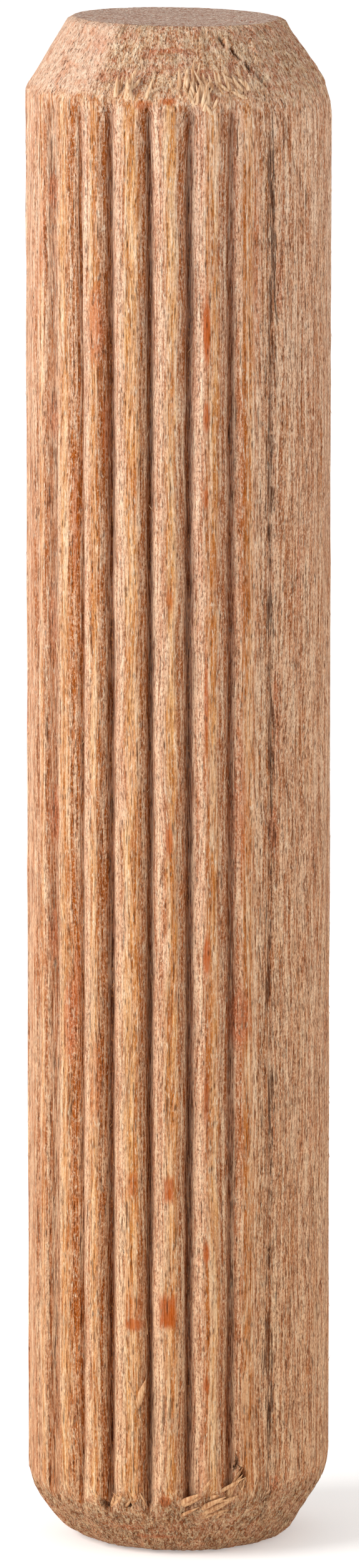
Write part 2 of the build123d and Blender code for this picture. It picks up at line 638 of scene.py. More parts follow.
@dataclass
class PinBody:
    """The pin itself: one stick, with its flutes, tapers and sawn ends as one closed skin."""

    columns: int = 576
    end_step: float = 0.078
    shaft_step: float = 0.38
    end_zone: float = 2.6
    lip_curve: float = 1.6  # 1 is a straight-sided V; more rounds the ribs and keeps the root sharp
    lit_reach: float = 1.35  # how far past a right lip the lit flank's painted highlight reaches, as a share of the lip
    dent_floor: float = 0.45  # how much of a dent's reach is its flat floor
    face_rings: tuple[float, ...] = (0.985, 0.95, 0.90, 0.83, 0.75, 0.66, 0.57, 0.47, 0.37, 0.27, 0.17, 0.08)
    halving_rings: tuple[int, ...] = (1, 4, 7, 9)
    flutes: tuple[Flute, ...] = field(default_factory=all_flutes)
    dents: tuple[Dent, ...] = field(default_factory=all_dents)
    track_noise: GrainNoise = field(default_factory=lambda: GrainNoise(11))
    skin_noise: GrainNoise = field(default_factory=lambda: GrainNoise(12))

    def rows(self) -> np.ndarray:
        """Space the rings of the skin: close at the ends, wide along the shaft.

        Returns:
            Heights in millimetres, from the lower rim to the upper.
        """
        close = np.arange(0, self.end_zone, self.end_step)
        middle = LENGTH - 2 * self.end_zone
        wide = np.linspace(self.end_zone, LENGTH - self.end_zone, int(middle / self.shaft_step))
        return np.concatenate([close, wide, (LENGTH - close)[::-1]])

    def outline(self, angles: np.ndarray, heights: np.ndarray) -> np.ndarray:
        """Give the turned radius in millimetres, before anything is pressed or torn."""
        return np.minimum(LOWER_TAPER.radius(angles, heights), UPPER_TAPER.radius(angles, heights))

    def press(
        self, angles: np.ndarray, heights: np.ndarray
    ) -> tuple[np.ndarray, np.ndarray, np.ndarray, np.ndarray]:
        """Press the flutes. Angles and heights may be any two shapes that broadcast together.

        Args:
            angles: degrees from the front.
            heights: millimetres above the lower end.

        Returns:
            How deep each point is pressed in millimetres; its share of the way from sound wood to the root;
            its side, -1 left of its flute's floor and 1 right of it; and how deep that flute is.
        """
        shape = np.broadcast(angles, heights).shape
        deepest, share, side, bite = np.zeros(shape), np.zeros(shape), np.ones(shape), np.zeros(shape)
        run_out = np.interp(heights, FLUTE_RUN_HEIGHTS, FLUTE_RUN_SHARES)
        noise = self.track_noise
        for number, flute in enumerate(self.flutes):
            track = np.stack(np.broadcast_arrays(number * TRACK_SPACING, TRACK_PLACE, heights), axis=-1)
            sway = LONG_SWAY.at(noise, track) + SHORT_SWAY.at(noise, track)
            depth = flute.depth * run_out * (1 + DEPTH_WAVER.at(noise, track))
            left = flute.left_lip * (1 + LEFT_LIP_WAVER.at(noise, track))
            right = flute.right_lip * (1 + RIGHT_LIP_WAVER.at(noise, track))
            across = arc(angles - flute.angle - sway)
            lip = np.where(across < 0, left, right)
            away = np.clip(np.abs(across) - flute.floor, 0, None)
            deepest = np.maximum(deepest, depth * np.clip(1 - away / lip, 0, 1) ** self.lip_curve)
            nearness = np.clip(1 - away / (lip * np.where(across < 0, 1.0, self.lit_reach)), 0, 1)
            nearer = nearness > share
            share = np.where(nearer, nearness, share)
            side = np.where(nearer, np.sign(across), side)
            bite = np.where(nearer, depth, bite)
        return deepest, share, side, bite

    def hollows(self, angles: np.ndarray, heights: np.ndarray) -> tuple[np.ndarray, np.ndarray]:
        """Sink every dent.

        Args:
            angles: degrees from the front.
            heights: millimetres above the lower end.

        Returns:
            How deep the dents are at each point in millimetres, and how dark its painted shade is, from 0 to
            1.
        """
        shape = np.broadcast(angles, heights).shape
        depth, dent_shade = np.zeros(shape), np.zeros(shape)
        for dent in self.dents:
            climb = heights - dent.height
            across = arc(angles - dent.angle) - dent.lean * climb
            away = np.sqrt((across / dent.width) ** 2 + (climb / dent.length) ** 2)
            sunk = ease(1.0, self.dent_floor, away)
            depth = depth + dent.depth * sunk
            # painted shade, darker for deeper dents
            dent_shade = np.maximum(dent_shade, sunk * min(1.0, dent.depth / FULL_DENT_SHADE))
        return depth, dent_shade

    def shape(self, angles: np.ndarray, heights: np.ndarray) -> tuple[np.ndarray, dict[Word, np.ndarray]]:
        """Work out the skin's radius, and what the material needs to know of it.

        Args:
            angles: degrees from the front.
            heights: millimetres above the lower end.

        Returns:
            The radius in millimetres, and each word's share.
        """
        pressed, share, side, bite = self.press(angles, heights)
        turned = self.outline(angles, heights)
        points = on_pin(angles, RADIUS, heights)
        noise = self.skin_noise
        edge = RADIUS - pressed - turned + RAGGED_EDGE.at(noise, points) + EDGE_START
        on_taper = ease(0.0, EDGE_WIDTH, edge)
        on_shaft = 1 - on_taper
        slant = CLEAN_CUT_SLANT * (LENGTH - heights)
        clean = CLEAN_CUT.share(angles, slant) + BACK_CLEAN_CUT.share(angles)
        fibres = COARSE_FIBRES.at(noise, points) + FINE_FIBRES.at(noise, points)
        crumbs = COARSE_CRUMBS.at(noise, points) + FINE_CRUMBS.at(noise, points)
        chipped = ease(*CHIP_RANGE, CHIP_PATTERN.at(noise, points)) * ease(0, CHIP_LIP, share) * (1 - share)
        radius = np.minimum(RADIUS - pressed - CHIP_DEPTH * chipped, turned)
        radius = radius + fibres * on_shaft + crumbs * (1 - CLEAN_SMOOTHNESS * clean) * on_taper
        sunk, dent_shade = self.hollows(angles, heights)

        # The flanks of pressed flutes: a painted highlight on the side that faces the key lamp, painted shade
        # on the other, and fuzz on both
        flank_light_and_fuzz = ease(*FLANK_SPAN, share) * ease(*FLANK_BITE, bite) * on_shaft
        # Painted shade in the roots of the flutes, darker the deeper the flute
        root = ease(*ROOT, share) * np.clip(pressed / FULL_BITE, 0, 1)
        fluted = FRONT_RIBS.share(angles) + ease(*RIGHT_RIBS, angles) + ease(*LEFT_RIBS, angles)
        # A painted highlight washes the gold out of the ribs on the side that faces the key lamp
        golden = 1 - HIGHLIGHT_GOLD_LOSS * RIBS_UNDER_HIGHLIGHT.share(angles)
        fuzzy = LEAST_FUZZ + (1 - LEAST_FUZZ) * np.maximum(flank_light_and_fuzz, FUZZY_SIDE.share(angles))
        least, more = CLUSTER_STRENGTHS
        clusters = least + more * ease(*CLUSTER_RANGE, CRACK_CLUSTERS.at(self.track_noise, points))
        crack = CRACK.share(angles - CRACK_DRIFT.at(self.track_noise, points))
        words = {
            Word.CREST: ease(CREST_END, 0.0, share) * fluted * golden * on_shaft,
            Word.LIT_FLANK: flank_light_and_fuzz * (side > 0),
            Word.DUSK_FLANK: flank_light_and_fuzz * (side < 0),
            Word.ROOT: root * on_shaft,
            Word.FUZZY: fuzzy * on_shaft * (1 - FUZZ_LOST_IN_ROOT * root),
            Word.BLUSH: np.interp(angles, BLUSH_ANGLES, BLUSH_SHARES),
            Word.GREY: GREY.share(angles),
            Word.AMBER: sum(streak.share(angles) for streak in AMBER),
            # painted warm cast in place of warm lamp light, darker towards the bottom
            Word.WARM_LIGHT_CAST: 1 - (1 - WARM_LIGHT_AT_TOP) * heights / LENGTH,
            Word.UNFLUTED: PLAIN_SIDE.share(angles) * on_shaft,
            Word.TURNED: on_taper,
            Word.TORN: (1 - clean) * on_taper,
            Word.CLEAN: clean * on_taper,
            # the lower taper; its first coat is painted shade
            Word.LOWER: on_taper * (heights < LENGTH / 2),
            Word.SAWN: 0.0,
            Word.RAGGED: clusters * crack + FAINT_CRACK.share(angles),
            Word.DENT_SHADE: dent_shade,
        }
        whole = np.ones(radius.shape)
        return radius - sunk, {word: amount * whole for word, amount in words.items()}

    def face(self, rim: np.ndarray, outward: float) -> tuple[np.ndarray, list[tuple[int, ...]]]:
        """Fill an end with a sawn face, in rings that halve their points towards the middle.

        Args:
            rim: the points of the skin's last ring, in millimetres.
            outward: 1 at the upper end and -1 at the lower.

        Returns:
            The new points, and faces whose numbers count the rim first.
        """
        centre = rim.mean(axis=0)
        layers = [rim]
        faces: list[tuple[int, ...]] = []
        start, count = 0, len(rim)
        outer = 1.0
        for number, share in enumerate(self.face_rings):
            halve = number in self.halving_rings
            source = layers[-1][::2] if halve else layers[-1]
            ring = centre + (source - centre) * share / outer
            ring[:, 2] += FACE_WAVER.at(self.skin_noise, ring) * outward
            following = start + count
            for place in range(len(ring)):
                after = (place + 1) % len(ring)
                step = 2 if halve else 1
                corner, middle = start + step * place, start + (step * place + 1) % count
                if halve:
                    far = start + (2 * place + 2) % count
                    faces.append((corner, middle, following + place))
                    faces.append((middle, far, following + after, following + place))
                else:
                    faces.append((corner, middle, following + after, following + place))
            layers.append(ring)
            start, count, outer = following, len(ring), share
        faces += [(start + place, start + (place + 1) % count, start + count) for place in range(count)]
        layers.append(centre[None])
        return np.concatenate(layers[1:]), faces

    def build(self, material: bpy.types.Material) -> bpy.types.Object:
        """Make the pin.

        Args:
            material: its wood.

        Returns:
            The pin's object.
        """
        heights = self.rows()[:, None]
        angles = np.arange(self.columns)[None] * 360 / self.columns - 180
        radius, words = self.shape(angles, heights)
        skin = on_pin(angles, radius, heights)
        skin[..., 2] -= ease(LENGTH - UPPER_FACE_REACH, LENGTH, heights) * UPPER_FACE_SLOPE * skin[..., 0]
        ring = np.arange(self.columns)
        after = (ring + 1) % self.columns
        starts = np.arange(len(heights) - 1)[:, None] * self.columns
        above = starts + self.columns
        quads = np.stack([starts + ring, starts + after, above + after, above + ring])
        faces = [tuple(quad) for quad in quads.reshape(4, -1).T.tolist()]
        points = [skin.reshape(-1, 3)]
        total = len(points[0])
        for row, outward in ((0, -1.0), (len(heights) - 1, 1.0)):
            added, cap = self.face(skin[row], outward)
            rim_start = row * self.columns
            for corners in cap:
                numbers = [rim_start + c if c < self.columns else total + c - self.columns for c in corners]
                faces.append(tuple(numbers if outward > 0 else numbers[::-1]))
            points.append(added)
            total += len(added)
        vertices = np.concatenate(points)
        vertices[:, 2] = np.clip(vertices[:, 2], 0, None)
        mesh = bpy.data.meshes.new("pin_body")
        mesh.from_pydata((vertices * MM).tolist(), [], faces)
        mesh.shade_smooth()
        mesh.materials.append(material)
        for word, share in words.items():
            on_faces = np.full(total - skin[..., 0].size, float(word is Word.SAWN))
            values = np.concatenate([share.ravel(), on_faces]).astype(np.float32)
            mesh.attributes.new(word.value, "FLOAT", "POINT").data.foreach_set("value", values)
        return place_in_scene("pin_body", mesh)


@dataclass
class FibreSet:
    """A set of thin tapering fibres, each rooted in the skin; every array has one row for each fibre."""

    name: str
    angles: np.ndarray
    heights: np.ndarray
    lengths: np.ndarray
    widths: np.ndarray
    leans: np.ndarray
    lifts: np.ndarray
    bends: np.ndarray
    sections: int = 5
    corners: int = 4
    flatness: float = 0.6
    rooting: float = 0.3  # how deep the root sits in the skin, as a share of the width
    point: float = 0.6  # how bluntly the fibres narrow to their tips
    root_width: float = 0.7
    belly: float = 1.2
    upright: bool = False  # whether the fibres ignore the slope of the taper that they stand on

    def spine(self, body: PinBody) -> tuple[np.ndarray, np.ndarray, np.ndarray]:
        """Lay each fibre's centre line out from the skin, whose slope it follows.

        Args:
            body: the pin that the fibres grow from.

        Returns:
            Points along each fibre, and at each point the directions across it and out of it.
        """
        radius, _ = body.shape(self.angles, self.heights)
        reach = 0.05
        above = body.outline(self.angles, self.heights + reach)
        below = body.outline(self.angles, self.heights - reach)
        slope = (0 if self.upright else 1) * np.arctan2(above - below, 2 * reach)[:, None]
        turn = np.radians(self.angles)
        radial = np.stack([np.sin(turn), -np.cos(turn), np.zeros_like(turn)], axis=-1)
        rightward = np.stack([np.cos(turn), np.sin(turn), np.zeros_like(turn)], axis=-1)
        upward = radial * np.sin(slope) + np.array([0.0, 0.0, 1.0]) * np.cos(slope)
        outward = np.cross(rightward, upward)
        lean = np.radians(self.leans)[:, None]
        along = rightward * np.sin(lean) + upward * np.cos(lean)
        across = np.cross(along, outward)
        shares = np.linspace(0, 1, self.sections)
        climb = np.radians(self.lifts[:, None] + self.bends[:, None] * shares)[..., None]
        direction = along[:, None] * np.cos(climb) + outward[:, None] * np.sin(climb)
        steps = direction * (self.lengths / (self.sections - 1))[:, None, None]
        base = on_pin(self.angles, radius - self.rooting * self.widths, self.heights)
        places = base[:, None] + np.cumsum(steps, axis=1) - steps
        sideways = np.broadcast_to(across[:, None], places.shape)
        return places, sideways, np.cross(direction, sideways)

    def build(self, body: PinBody, material: bpy.types.Material) -> bpy.types.Object:
        """Make one object of the whole set.

        Args:
            body: the pin that the fibres grow from.
            material: the fibres' material.

        Returns:
            The new object.
        """
        places, across, normal = self.spine(body)
        shares = np.linspace(0, 1, self.sections)
        taper = (1 - shares) ** self.point * (self.root_width + self.belly * shares * (1 - shares))
        thick = (self.widths[:, None] / 2 * taper)[..., None, None]
        spin = (np.arange(self.corners) * 2 * pi / self.corners)[:, None]
        rings = places[:, :, None] + thick * (
            across[:, :, None] * np.cos(spin) + normal[:, :, None] * np.sin(spin) * self.flatness
        )
        per_fibre = self.sections * self.corners
        corner = np.arange(self.corners)
        after = (corner + 1) % self.corners
        low = (np.arange(self.sections - 1) * self.corners)[:, None]
        high = low + self.corners
        quads = np.stack([low + corner, low + after, high + after, high + corner], axis=-1)
        starts = np.arange(len(places))[:, None, None, None] * per_fibre
        faces = (starts + quads).reshape(-1, 4).tolist()
        faces += (np.arange(len(places))[:, None] * per_fibre + corner[::-1]).tolist()
        mesh = bpy.data.meshes.new(self.name)
        mesh.from_pydata((rings.reshape(-1, 3) * MM).tolist(), [], faces)
        mesh.shade_smooth()
        mesh.materials.append(material)
        return place_in_scene(self.name, mesh)


@dataclass
class TornGrain:
    """Everything that stands off the pin: fuzz on the lips of the flutes, splinters, and torn tufts."""

    body: PinBody
    fuzz_count: int = 6500

    def fuzz(self) -> FibreSet:
        """Scatter short fibres along the lips of the flutes.

        Returns:
            The fuzz.
        """
        pick = np.random.default_rng(23)
        count = self.fuzz_count
        chosen = pick.integers(len(self.body.flutes), size=count)
        sizes = [(flute.angle, flute.left_lip, flute.right_lip, flute.floor) for flute in self.body.flutes]
        angle, left, right, floor = np.array(sizes).T[:, chosen]
        on_left = pick.random(count) < 0.5
        lip = np.where(on_left, -left, right) * pick.uniform(0.1, 1.0, count)
        reach = lip + np.where(on_left, -floor, floor)
        upside_down = 180 * pick.integers(2, size=count)
        return FibreSet(
            "raised_fuzz",
            angles=angle + np.degrees(reach / RADIUS),
            heights=pick.uniform(1.6, LENGTH - 1.7, count),
            lengths=pick.uniform(0.07, 0.30, count),
            widths=pick.uniform(0.014, 0.030, count),
            leans=upside_down + pick.normal(0, 15, count),
            lifts=pick.uniform(0, 14, count),
            bends=pick.uniform(-10, 26, count),
            sections=3,
            corners=3,
        )

    def splinters(self) -> FibreSet:
        """Lay the larger splinters that stand proud of the ribs.

        Returns:
            The splinters.
        """
        pick = np.random.default_rng(31)
        count = len(SPLINTERS)
        rows = [(one.angle, one.height, one.length, one.width, one.lean, one.lift) for one in SPLINTERS]
        angles, heights, lengths, widths, leans, lifts = np.array(rows).T
        bends = pick.uniform(-4, 14, count)
        return FibreSet(
            "split_splinters", angles, heights, lengths, widths, leans, lifts, bends, sections=9, corners=6
        )

    def tufts(self) -> FibreSet:
        """Lay the clumps of fibres that the knife tore at the ends of the ribs.

        Returns:
            The tufts.
        """
        pick = np.random.default_rng(47)
        rows = [
            (tuft.angle, tuft.height, tuft.width, tuft.tallness, tuft.lean, tuft.lift, tuft.size)
            for tuft in TUFTS
        ]
        counts = [tuft.count for tuft in TUFTS]
        angle, height, width, tallness, lean, lift, size = np.repeat(np.array(rows), counts, axis=0).T
        total = len(angle)
        return FibreSet(
            "torn_tufts",
            angles=angle + np.degrees(pick.normal(0, 0.6, total) * width / RADIUS),
            heights=height + pick.normal(0, 0.8, total) * tallness,
            lengths=pick.uniform(0.26, 0.74, total) * size,
            widths=pick.uniform(0.09, 0.20, total) * size,
            leans=lean + pick.normal(0, 14, total),
            lifts=lift + pick.normal(0, 7, total),
            bends=pick.uniform(-22, 14, total),
            sections=6,
            corners=5,
            flatness=0.45,
            upright=True,
        )

    def sets(self) -> Iterator[FibreSet]:
        """Give each set in turn."""
        yield self.fuzz()
        yield self.splinters()
        yield self.tufts()


def place_in_scene(name: str, mesh: bpy.types.Mesh) -> bpy.types.Object:
    """Wrap a mesh in an object and link it into the scene.

    Args:
        name: the object's name.
        mesh: its mesh, already in its place.

    Returns:
        The object.
    """
    piece = bpy.data.objects.new(name, mesh)
    bpy.context.scene.collection.objects.link(piece)
    return piece


def add_node(tree: bpy.types.NodeTree, kind: str, inputs: dict | None = None, output: int | str = 0,
             **settings: object) -> bpy.types.NodeSocket:
    """Add a node to a tree, with its settings, its values and its links.

    Args:
        tree: the material's nodes.
        kind: the node's type, without the ShaderNode that every one starts with.
        inputs: for each socket name or number, a value or the output that feeds it.
        output: which output is wanted.
        settings: properties of the node itself.

    Returns:
        That output.
    """
    node = tree.nodes.new("ShaderNode" + kind)
    for name, value in settings.items():
        setattr(node, name, value)
    for socket, value in (inputs or {}).items():
        if isinstance(value, bpy.types.NodeSocket):
            tree.links.new(value, node.inputs[socket])
        else:
            node.inputs[socket].default_value = value
    return node.outputs[output] if len(node.outputs) else None


def empty_material(name: str) -> bpy.types.Material:
    """Start a material with no nodes.

    Args:
        name: its name.

    Returns:
        The material.
    """
    material = bpy.data.materials.new(name)
    material.use_nodes = True
    material.node_tree.nodes.clear()
    return material


@dataclass(frozen=True)
class Figure:
    """A pattern in the solid wood, with the size of one of its marks in millimetres along x, y and z."""

    name: str
    size: tuple[float, float, float]
    detail: float = 2.0
    shift: float = 0.0
    torn: bool = False  # whether the knife dragged it down the slope of a taper


@dataclass(frozen=True)
class Coat:
    """One colour over the ones before it: none where its layer is at start, and all where it is at full."""

    colour: str
    layer: str
    start: float = 0.0
    full: float = 1.0
    strength: float = 1.0
    where: str | None = None
    blend: str = "MIX"


@dataclass(frozen=True)
class Relief:
    """One step of the surface's height, in millimetres, on the same terms as a coat of colour."""

    height: float
    layer: str
    start: float = 0.0
    full: float = 1.0
    where: str | None = None


BEECH_FIGURES = (
    Figure("bands", (0.40, 0.40, 3.6)),
    Figure("veins", (0.075, 0.075, 11.0), detail=2.5, shift=91.0),
    Figure("bundles", (0.085, 0.085, 2.4), detail=2.5, shift=7.0),
    Figure("strands", (0.034, 0.034, 0.75), detail=2.0, shift=3.0),
    Figure("strokes", (0.044, 0.044, 0.32), detail=1.0, shift=19.0),
    Figure("glints", (0.040, 0.040, 0.22), detail=1.0, shift=43.0),
    Figure("nap", (0.038, 0.038, 0.075), detail=2.0, shift=83.0),
    Figure("cracks", (0.060, 0.060, 1.10), detail=2.0, shift=27.0),
    Figure("crumbs", (0.120, 0.120, 0.20), detail=4.0, shift=31.0, torn=True),
    Figure("grit", (0.045, 0.045, 0.15), detail=2.0, shift=37.0, torn=True),
    Figure("patches", (0.50, 0.50, 0.36), detail=3.0, shift=53.0, torn=True),
    Figure("lumps", (0.26, 0.26, 0.15), detail=4.0, shift=57.0, torn=True),
    Figure("saw_lines", (1.60, 0.30, 0.50), detail=3.0, shift=61.0),
    Figure("end_pores", (0.090, 0.300, 0.50), detail=2.0, shift=71.0),
)
VESSEL_SIZE = (0.10, 0.10, 0.50)  # one vessel to each cell of this size

# From the bare stick outwards: what was pressed, what was cut, then the grain, the rays and the painted shade
# in roots and dents
BEECH_COATS = (
    Coat("#E0AE96", "blush", strength=0.80),
    Coat("#DAA684", "unfluted"),
    Coat("#BC9170", "grey_streak", strength=0.50),
    Coat("#C8803C", "bands", 0.52, 0.66, strength=0.40),
    Coat("#EDC9B2", "bands", 0.48, 0.34, strength=0.35),
    Coat("#DDA257", "rib_crest", strength=0.75),
    Coat("#C47830", "bands", 0.46, 0.62, strength=0.70, where="rib_crest"),
    # Painted highlight on the flanks that face the key lamp, and painted shade on those that face away
    Coat("#E8BEA8", "lit_flank", strength=0.85),
    Coat("#AB6022", "dusk_flank", strength=0.9),
    Coat("#B27A5A", "dusk_flank", where="blush"),
    Coat("#B86410", "amber_streak", strength=0.80),
    Coat("#C5916B", "turned"),
    Coat("#EDCDAC", "crumbs", 0.42, 0.60, where="torn"),
    Coat("#CE8B70", "patches", 0.48, 0.60, strength=0.75, where="torn"),
    Coat("#E6C196", "patches", 0.48, 0.34, strength=0.50, where="torn"),
    Coat("#DDB59C", "clean_cut", strength=0.85),
    # Painted shade on the lower taper, which faces down and away from the lamps
    Coat("#7E4C34", "lower_taper", strength=0.50),
    Coat("#4E2810", "lumps", 0.48, 0.38, strength=0.72, where="lower_taper"),
    Coat("#E2B48F", "lumps", 0.52, 0.62, strength=0.78, where="lower_taper"),
    Coat("#E0A98C", "patches", 0.50, 0.60, strength=0.60, where="lower_taper"),
    Coat("#5E3014", "patches", 0.46, 0.36, strength=0.55, where="lower_taper"),
    Coat("#B59A8D", "sawn"),
    Coat("#856A5C", "saw_lines", 0.48, 0.34, strength=0.8, where="sawn"),
    Coat("#D8C4B8", "end_pores", 0.52, 0.66, strength=0.7, where="sawn"),
    Coat("#F5DCC4", "veins", 0.50, 0.66, strength=0.55),
    Coat("#A85610", "veins", 0.50, 0.34, strength=0.58),
    Coat("#F6DDC4", "bundles", 0.50, 0.68, strength=0.55),
    Coat("#A3540C", "bundles", 0.50, 0.32, strength=0.60),
    Coat("#FCEDDC", "strands", 0.50, 0.80, strength=0.52),
    Coat("#84400C", "strands", 0.52, 0.24, strength=0.60),
    Coat("#C06B46", "stains", strength=0.66),
    Coat("#9A5A30", "bundles", 0.49, 0.36, strength=0.36, where="unfluted"),
    Coat("#EBC9B2", "bundles", 0.52, 0.66, strength=0.45, where="unfluted"),
    Coat("#7A3C14", "strokes", 0.60, 0.70, strength=0.55),
    Coat("#74401C", "strokes", 0.55, 0.63, strength=0.42, where="unfluted"),
    Coat("#FEF2E2", "glints", 0.60, 0.72, strength=0.52),
    Coat("#EACDBA", "clean_cut", strength=0.34),
    Coat("#D3916F", "patches", 0.52, 0.62, strength=0.55, where="clean_cut"),
    Coat("#9A6A48", "grit", 0.46, 0.32, strength=0.45, where="clean_cut"),
    Coat("#FBE8DA", "grit", 0.54, 0.70, strength=0.50, where="clean_cut"),
    Coat("#67320F", "nap", 0.48, 0.30, strength=0.72, where="fuzzy_flank"),
    Coat("#FCE6CF", "nap", 0.54, 0.72, strength=0.60, where="fuzzy_flank"),
    Coat("#623010", "grit", 0.44, 0.30, strength=0.72, where="torn"),
    Coat("#FDEACD", "grit", 0.56, 0.72, strength=0.58, where="torn"),
    Coat("#B4540E", "rays", strength=0.88),
    Coat("#50280F", "vessels", 0.22, 0.10, strength=0.60),
    Coat("#46200A", "cracks", 0.66, 0.74, strength=0.75),
    # Painted shade down the roots of the flutes
    Coat("#5C1E00", "flute_root_shade", strength=0.66),
    Coat("#2C1002", "strands", 0.53, 0.40, strength=0.70, where="flute_root_shade"),
    Coat("#C4844E", "nap", 0.55, 0.68, strength=0.48, where="flute_root_shade"),
    # Painted shade in the dents and splits
    Coat("#4E240C", "dent_shade", 0.25, 0.95, strength=0.78),
    # A painted warm cast, multiplied in place of warm lamp light; it darkens the wood towards the bottom
    Coat("#F3E4CB", "warm_light_cast", blend="MULTIPLY"),
)

BEECH_RELIEF = (
    Relief(0.034, "veins"),
    Relief(0.045, "bundles"),
    Relief(0.038, "strands"),
    Relief(-0.014, "strokes", 0.58, 0.70),
    Relief(0.010, "glints", 0.58, 0.72),
    Relief(0.030, "nap", where="fuzzy_flank"),
    Relief(-0.018, "vessels", 0.22, 0.10),
    Relief(-0.030, "cracks", 0.64, 0.74),
    Relief(0.150, "crumbs", where="torn"),
    Relief(0.055, "grit", where="torn"),
    Relief(0.240, "lumps", where="lower_taper"),
    Relief(0.060, "crumbs", where="clean_cut"),
    Relief(0.060, "saw_lines", where="sawn"),
)


